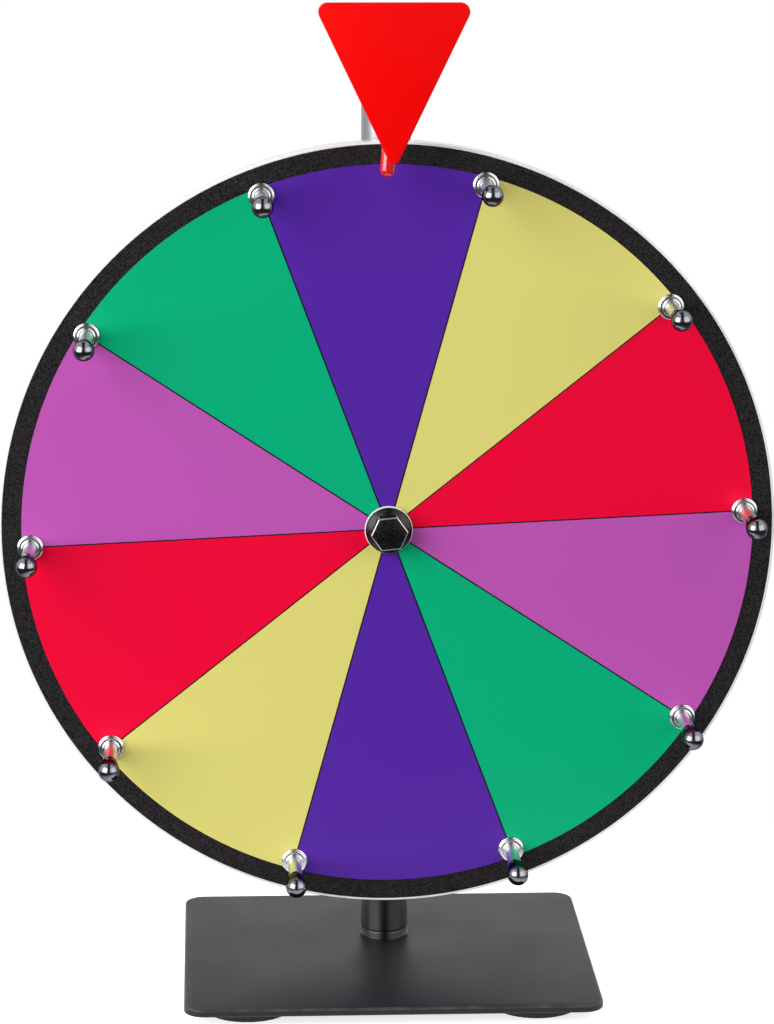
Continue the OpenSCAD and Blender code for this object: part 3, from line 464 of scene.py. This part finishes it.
pegCollar = {"bore": 2.62, "radius": 4.8, "low": 0.8, "lowEdge": 0.25, "flange": 2.2, "edge": 0.45,
             "boss": 3.4, "bossFoot": 0.2, "top": 3.5, "bossEdge": 0.35}
collarOutline = [(pegCollar["bore"], pegCollar["top"]), (pegCollar["bore"], pegCollar["low"]),
                 (pegCollar["radius"], pegCollar["low"], pegCollar["lowEdge"]),
                 (pegCollar["radius"], pegCollar["flange"], pegCollar["edge"]),
                 (pegCollar["boss"], pegCollar["flange"], pegCollar["bossFoot"]),
                 (pegCollar["boss"], pegCollar["top"], pegCollar["bossEdge"]),
                 (pegCollar["bore"], pegCollar["top"])]

pegWasher = {"hole": 2.15, "radius": 5.2, "thick": 0.8, "edge": 0.6, "rearEdge": 0.1}
washerOutline = [(pegWasher["hole"], pegWasher["thick"]), (pegWasher["hole"], 0),
                 (pegWasher["radius"], 0, pegWasher["rearEdge"]),
                 (pegWasher["radius"], pegWasher["thick"], pegWasher["edge"]),
                 (pegWasher["hole"], pegWasher["thick"])]

# One of each is turned, then copied round the wheel
pegRings = (("pegCaps", "peg_caps", capOutline, "cap_chrome", darkChrome),
            ("pegCollars", "peg_collars", collarOutline, "peg_nickel", brightNickel),
            ("pegWashers", "peg_washers", washerOutline, "peg_nickel", brightNickel))
for name, node, outline, slotName, material in pegRings:
    bm = bmesh.new()
    turnOutline(bm, outline, sides["peg"])
    move(bm, Matrix.Rotation(-math.radians(peg["turn"]), 4, "Z") @ pegOut)
    bmesh.ops.spin(bm, geom=bm.verts[:] + bm.edges[:] + bm.faces[:], cent=(0, 0, 0), axis=(0, 0, 1),
                   angle=math.radians(360 - 360 / peg["count"]), steps=peg["count"] - 1, use_duplicate=True)
    move(bm, onAxle)
    newPiece(bm, name, node, material)
print("wheel and pegs done")

# Axle: flange bolt and white washer
axleBolt = {"seat": 1.9, "head": 8, "flats": 13, "turn": -24.4, "edge": 0.5, "cone": 3.4, "coneEdge": 0.3,
            "flange": 9.1, "flangeThick": 1.4, "flangeEdge": 0.45, "flangeFoot": 0.3,
            "shank": 4, "end": -51.7, "threadStart": -40, "thread": 1.25, "threadDepth": 0.6}
seat = axleBolt["seat"]
coneTop = seat + axleBolt["cone"]
boltOutline = [(0, coneTop), (axleBolt["flats"] / 2, coneTop, axleBolt["coneEdge"]),
               (axleBolt["flange"], seat + axleBolt["flangeThick"], axleBolt["flangeEdge"]),
               (axleBolt["flange"], seat, axleBolt["flangeFoot"]), (axleBolt["shank"], seat)]
boltOutline += threadSteps(axleBolt["shank"], axleBolt["threadStart"], axleBolt["end"],
                           axleBolt["thread"], axleBolt["threadDepth"])
boltOutline += [(0, axleBolt["end"])]
bm = bmesh.new()
turnOutline(bm, boltOutline, sides["bolt"])
headSpot = Matrix.Translation((0, 0, seat * mm)) @ Matrix.Rotation(math.radians(axleBolt["turn"]), 4, "Z")
hexagon = bmesh.ops.create_circle(bm, cap_ends=True, segments=6, radius=axleBolt["flats"] / math.sqrt(3) * mm,
                                  matrix=headSpot)
cap = {f for v in hexagon["verts"] for f in v.link_faces}
raised = bmesh.ops.extrude_face_region(bm, geom=list(cap))["geom"]
lifted = [v for v in raised if isinstance(v, bmesh.types.BMVert)]
bmesh.ops.translate(bm, vec=(0, 0, axleBolt["head"] * mm), verts=lifted)
bmesh.ops.recalc_face_normals(bm, faces=bm.faces)
headFaces = {f for v in lifted for f in v.link_faces}
roundEdges(bm, [e for e in sharpEdges(bm) if headFaces.intersection(e.link_faces)], axleBolt["edge"])
move(bm, onAxle)
newPiece(bm, "axleBolt", "axle_bolt", blackOxide)

axleWasher = {"radius": 9.45, "gap": 0.4, "boss": 6, "hole": 4.15, "rear": -1.8, "edge": 0.4}
bm = bmesh.new()
turnOutline(bm, [(axleWasher["hole"], seat), (axleWasher["radius"], seat, axleWasher["edge"]),
                 (axleWasher["radius"], axleWasher["gap"], axleWasher["edge"]),
                 (axleWasher["boss"], axleWasher["gap"]), (axleWasher["boss"], axleWasher["rear"]),
                 (axleWasher["hole"], axleWasher["rear"])], sides["bolt"], closed=True)
move(bm, onAxle)
newPiece(bm, "axleWasher", "axle_washer", whiteNylon)
print("axle done")

# Finger: a flat eye on the pin and a round shaft with a domed tip, measured from the pin
finger = {"radius": 2.9, "length": 27.2, "lean": 4, "eye": 4.5, "thick": 6.4, "bore": 1.55, "edge": 0.5,
          "shaftStart": 2.05}
eyeHalf = finger["thick"] / 2
bm = bmesh.new()
turnOutline(bm, [(finger["bore"], eyeHalf), (finger["bore"], -eyeHalf),
                 (finger["eye"], -eyeHalf, finger["edge"]), (finger["eye"], eyeHalf, finger["edge"]),
                 (finger["bore"], eyeHalf)], sides["finger"])
move(bm, Matrix.Rotation(math.radians(90), 4, "X"))
turnOutline(bm, [(0, finger["length"]), ("arc", 0, finger["length"] - finger["radius"], 90),
                 (finger["radius"], finger["shaftStart"]), (0, finger["shaftStart"])], sides["finger"])
hanging = Matrix.Rotation(math.radians(180 + finger["lean"]), 4, "Y")
move(bm, Matrix.Translation(joints["finger_flex"]["pos_m"]) @ hanging)
newPiece(bm, "finger", "finger", redVinyl)
print("finger done")

# Pieces that keep the CAD solid's shape, with edges rounded by the size in millimetres
softPieces = {
    "pointer_plate": ("pointerPlate", "pointer_red", redAcrylic, 0.5),
    "pointer_holder": ("pointerHolder", "black_plastic", blackAbs, 0.6),
    "pointer_sleeve": ("pointerSleeve", "satin_aluminium", brushedAluminium, 0.3),
    "pointer_saddle": ("pointerSaddle", "zinc_steel", zincPlate, 0.25),
    "pointer_bolt": ("pointerBolt", "zinc_steel", zincPlate, 0.2),
    "wheel_hub": ("wheelHub", "hub_black", hubNylon, 0.4),
    "hub_screws": ("hubScrews", "zinc_steel", zincPlate, 0.15),
    "peg_nuts": ("pegNuts", "zinc_steel", zincPlate, 0.2),
    "axle_spacer": ("axleSpacer", "zinc_steel", zincPlate, 0.2),
    "axle_saddle": ("axleSaddle", "zinc_steel", zincPlate, 0.25),
    "axle_nut": ("axleNut", "zinc_steel", zincPlate, 0.25),
    "base_bolt": ("baseBolt", "zinc_steel", zincPlate, 0.2),
    "base_washer": ("baseWasher", "zinc_steel", zincPlate, 0.2),
}
for node, (name, slotName, material, size) in softPieces.items():
    newPiece(softCopy(node, size), name, node, material)

# Flat or hidden CAD solids that stay and only take a finish
finishes = {
    "wheel_board": whiteBoard,
    "face_sheet": blackSheet,
    "pole_joiner": zincPlate,
    "finger_pin": zincPlate,
    "bearing_inner_rings": bearingSteel,
    "bearing_outer_rings": bearingSteel,
    "bearing_spacer": zincPlate,
    "bearing_circlip": zincPlate,
    "bearing_balls": bearingSteel,
    "bearing_cages": cageBrass,
}
panelOrder = ("purple", "yellow", "red", "pink", "green")
for i in range(peg["count"]):
    finishes[f"panel_{i + 1}"] = panelFilms[panelOrder[i % len(panelOrder)]]
for node, material in finishes.items():
    frame["nodes"][node].material_slots[0].material = material
print("finishes done")

# Studio floor: a white sheet that keeps the shadow, glows to the eye and to mirrors, and fades out at its rim
floor = {"radius": 0.28, "sides": 96, "colour": "#f4f4f3", "fadeFrom": 0.1, "glow": 0.72}
bm = bmesh.new()
bmesh.ops.create_circle(bm, cap_ends=True, segments=floor["sides"], radius=floor["radius"])
mesh = bpy.data.meshes.new("floor")
bm.to_mesh(mesh)
bm.free()
floorObject = bpy.data.objects.new("floor", mesh)
scene.collection.objects.link(floorObject)

paper, tree, spot = startMaterial("whiteBackgroundPaper")
tooth = addNode(tree, "TexNoise", {"Vector": spot, "Scale": perMm(3), "Detail": 2.0}).outputs["Fac"]
bump = addNode(tree, "Bump", {"Height": tooth, "Strength": 0.02, "Distance": 0.1 * mm})
sheet = addNode(tree, "BsdfDiffuse", {"Color": linear(floor["colour"]), "Normal": bump.outputs["Normal"]})
rays = addNode(tree, "LightPath").outputs
looked = addNode(tree, "Math", {0: rays["Is Camera Ray"], 1: rays["Is Glossy Ray"]}, operation="MAXIMUM")
looked = addNode(tree, "Math", {0: looked.outputs[0], 1: rays["Is Transmission Ray"]}, operation="MAXIMUM")
strength = addNode(tree, "Math", {0: looked.outputs[0], 1: floor["glow"]}, operation="MULTIPLY").outputs[0]
glow = addNode(tree, "Emission", {"Color": (1, 1, 1, 1), "Strength": strength})
white = addNode(tree, "AddShader", {0: sheet.outputs["BSDF"], 1: glow.outputs["Emission"]})
clear = addNode(tree, "BsdfTransparent")
reach = addNode(tree, "VectorMath", {0: spot}, operation="LENGTH").outputs["Value"]
fade = addNode(tree, "MapRange", {"Value": reach, "From Min": floor["fadeFrom"], "From Max": floor["radius"]})
mixed = addNode(tree, "MixShader", {0: fade.outputs["Result"], 1: white.outputs["Shader"],
                                    2: clear.outputs["BSDF"]})
addNode(tree, "OutputMaterial", {"Surface": mixed.outputs["Shader"]})
mesh.materials.append(paper)

# Studio room: soft light for matt surfaces, and for mirrors a dim front, bright side walls and white behind.
# A pair says where a zone starts and where it is full, along one axis of the direction looked in
studio = {"fill": 0.07, "overhead": 0.45, "rear": 0.6, "rearFull": 0.8,
          "front": 0.06, "table": 0.12, "tableZone": (-0.55, -0.85),
          "tent": 1.4, "tentSides": (0.12, 0.36), "tentRise": (-0.2, 0.1), "backZone": (0.2, 0.6)}
world = bpy.data.worlds.new("studio")
scene.world = world
world.use_nodes = True
tree = world.node_tree
tree.nodes.clear()
axes = addNode(tree, "SeparateXYZ", {"Vector": addNode(tree, "TexCoord").outputs["Generated"]}).outputs

start, full = studio["backZone"]
behind = addNode(tree, "MapRange", {"Value": axes["Y"], "From Min": start, "From Max": full})
aside = addNode(tree, "Math", {0: axes["X"]}, operation="ABSOLUTE").outputs[0]
start, full = studio["tentSides"]
walls = addNode(tree, "MapRange", {"Value": aside, "From Min": start, "From Max": full,
                                   "To Max": studio["tent"]})
start, full = studio["tentRise"]
over = addNode(tree, "MapRange", {"Value": axes["Z"], "From Min": start, "From Max": full})
tent = addNode(tree, "Math", {0: walls.outputs[0], 1: over.outputs[0]}, operation="MULTIPLY")
bright = addNode(tree, "Math", {0: behind.outputs[0], 1: tent.outputs[0]}, operation="MAXIMUM")
start, full = studio["tableZone"]
under = addNode(tree, "MapRange", {"Value": axes["Z"], "From Min": start, "From Max": full,
                                   "To Min": studio["front"], "To Max": studio["table"]})
room = addNode(tree, "Math", {0: bright.outputs[0], 1: under.outputs[0]}, operation="MAXIMUM").outputs[0]

fill = addNode(tree, "MapRange", {"Value": axes["Z"], "To Min": studio["fill"],
                                  "To Max": studio["overhead"]})
rear = addNode(tree, "MapRange", {"Value": axes["Y"], "From Max": studio["rearFull"],
                                  "To Max": studio["rear"]})
soft = addNode(tree, "Math", {0: fill.outputs[0], 1: rear.outputs[0]}, operation="ADD").outputs[0]

rays = addNode(tree, "LightPath").outputs
mirrored = addNode(tree, "Math", {0: rays["Is Glossy Ray"], 1: rays["Is Transmission Ray"]},
                   operation="MAXIMUM")
lit = addNode(tree, "Mix", {"Factor": mirrored.outputs[0], "A": soft, "B": room}).outputs["Result"]
seen = addNode(tree, "Mix", {"Factor": rays["Is Camera Ray"], "A": lit, "B": 1.0}).outputs["Result"]
sky = addNode(tree, "Background", {"Color": (1, 1, 1, 1), "Strength": seen})
addNode(tree, "OutputWorld", {"Surface": sky.outputs["Background"]})

softBoxes = {
    "left": {"spot": (-0.97, -0.77, 0.59), "size": (1.25, 1.1), "power": 20.5},
    "right": {"spot": (0.97, -0.77, 0.59), "size": (1.25, 1.1), "power": 6.8},
}
for name, box in softBoxes.items():
    lamp = bpy.data.lights.new(name + "SoftBox", "AREA")
    lamp.shape = "RECTANGLE"
    lamp.size, lamp.size_y = box["size"]
    lamp.energy = box["power"]
    lampObject = bpy.data.objects.new(name + "SoftBox", lamp)
    scene.collection.objects.link(lampObject)
    lampObject.location = box["spot"]
    lampObject.rotation_mode = "QUATERNION"
    lampObject.rotation_quaternion = (axle - Vector(box["spot"])).to_track_quat("-Z", "Y")

view = {"spot": (-0.0700, -1.4518, 0.4958), "turn": (78.064, -0.147, -2.723), "lens": 132.22, "sensor": 36}
lens = bpy.data.cameras.new("camera")
lens.sensor_width = view["sensor"]  # of the picture's long side
lens.lens = view["lens"]
camera = bpy.data.objects.new("camera", lens)
scene.collection.objects.link(camera)
camera.location = view["spot"]
camera.rotation_euler = [math.radians(angle) for angle in view["turn"]]
scene.camera = camera
scene.view_settings.view_transform = "Standard"
print("studio done")
